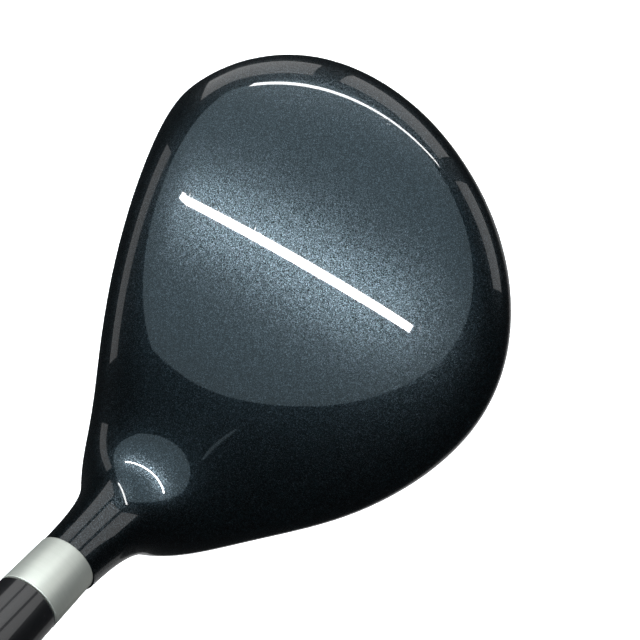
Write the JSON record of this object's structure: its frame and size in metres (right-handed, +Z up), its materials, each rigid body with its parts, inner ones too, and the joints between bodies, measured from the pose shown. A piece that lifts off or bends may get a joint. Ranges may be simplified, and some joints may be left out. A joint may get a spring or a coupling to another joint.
{
  "type": "fairway wood",
  "caption": "Right-handed fairway wood golf club with a steel head, bonded tapered shaft and slip-on rubber grip.",
  "frame": {"origin": "middle of the small flat on the sole that the head rests on", "axes": "+X from toe to heel, along the face; +Y from the face to the rear of the head; +Z up, as the club sits at address"},
  "size_m": [0.677, 0.0929, 0.9324],
  "materials": {
    "head_paint": "gloss black with fine silver flake under clear coat",
    "face_metal": "brushed and bead-blasted steel",
    "sole_metal": "dark brushed steel",
    "weight_metal": "turned steel",
    "badge_metal": "satin anodised, blank",
    "slug_metal": "sintered heavy alloy",
    "hot_melt": "tacky hot-melt glue",
    "plug_plastic": "moulded plastic",
    "epoxy": "cured epoxy",
    "ring_metal": "brushed around its axis",
    "ferrule_plastic": "polished black",
    "shaft_paint": "gloss painted carbon fibre",
    "brass": "turned",
    "tape": "double-sided paper tape",
    "grip_rubber": "moulded pattern, matt",
    "cap_plastic": "moulded, satin"
  },
  "bodies": {
    "root": {"head_shell": "head_paint", "face_plate": "face_metal", "sole_plate": "sole_metal", "sole_weight": "weight_metal", "sole_badge": "badge_metal", "toe_slug": "slug_metal", "heel_slug": "slug_metal", "hot_melt_pad": "hot_melt", "hosel_plug": "plug_plastic", "epoxy_bond": "epoxy", "ferrule_ring": "ring_metal", "ferrule_sleeve": "ferrule_plastic", "shaft": "shaft_paint", "tip_weight": "brass", "grip_tape": "tape", "grip": "grip_rubber", "grip_cap": "cap_plastic"}
  },
  "joints": []
}
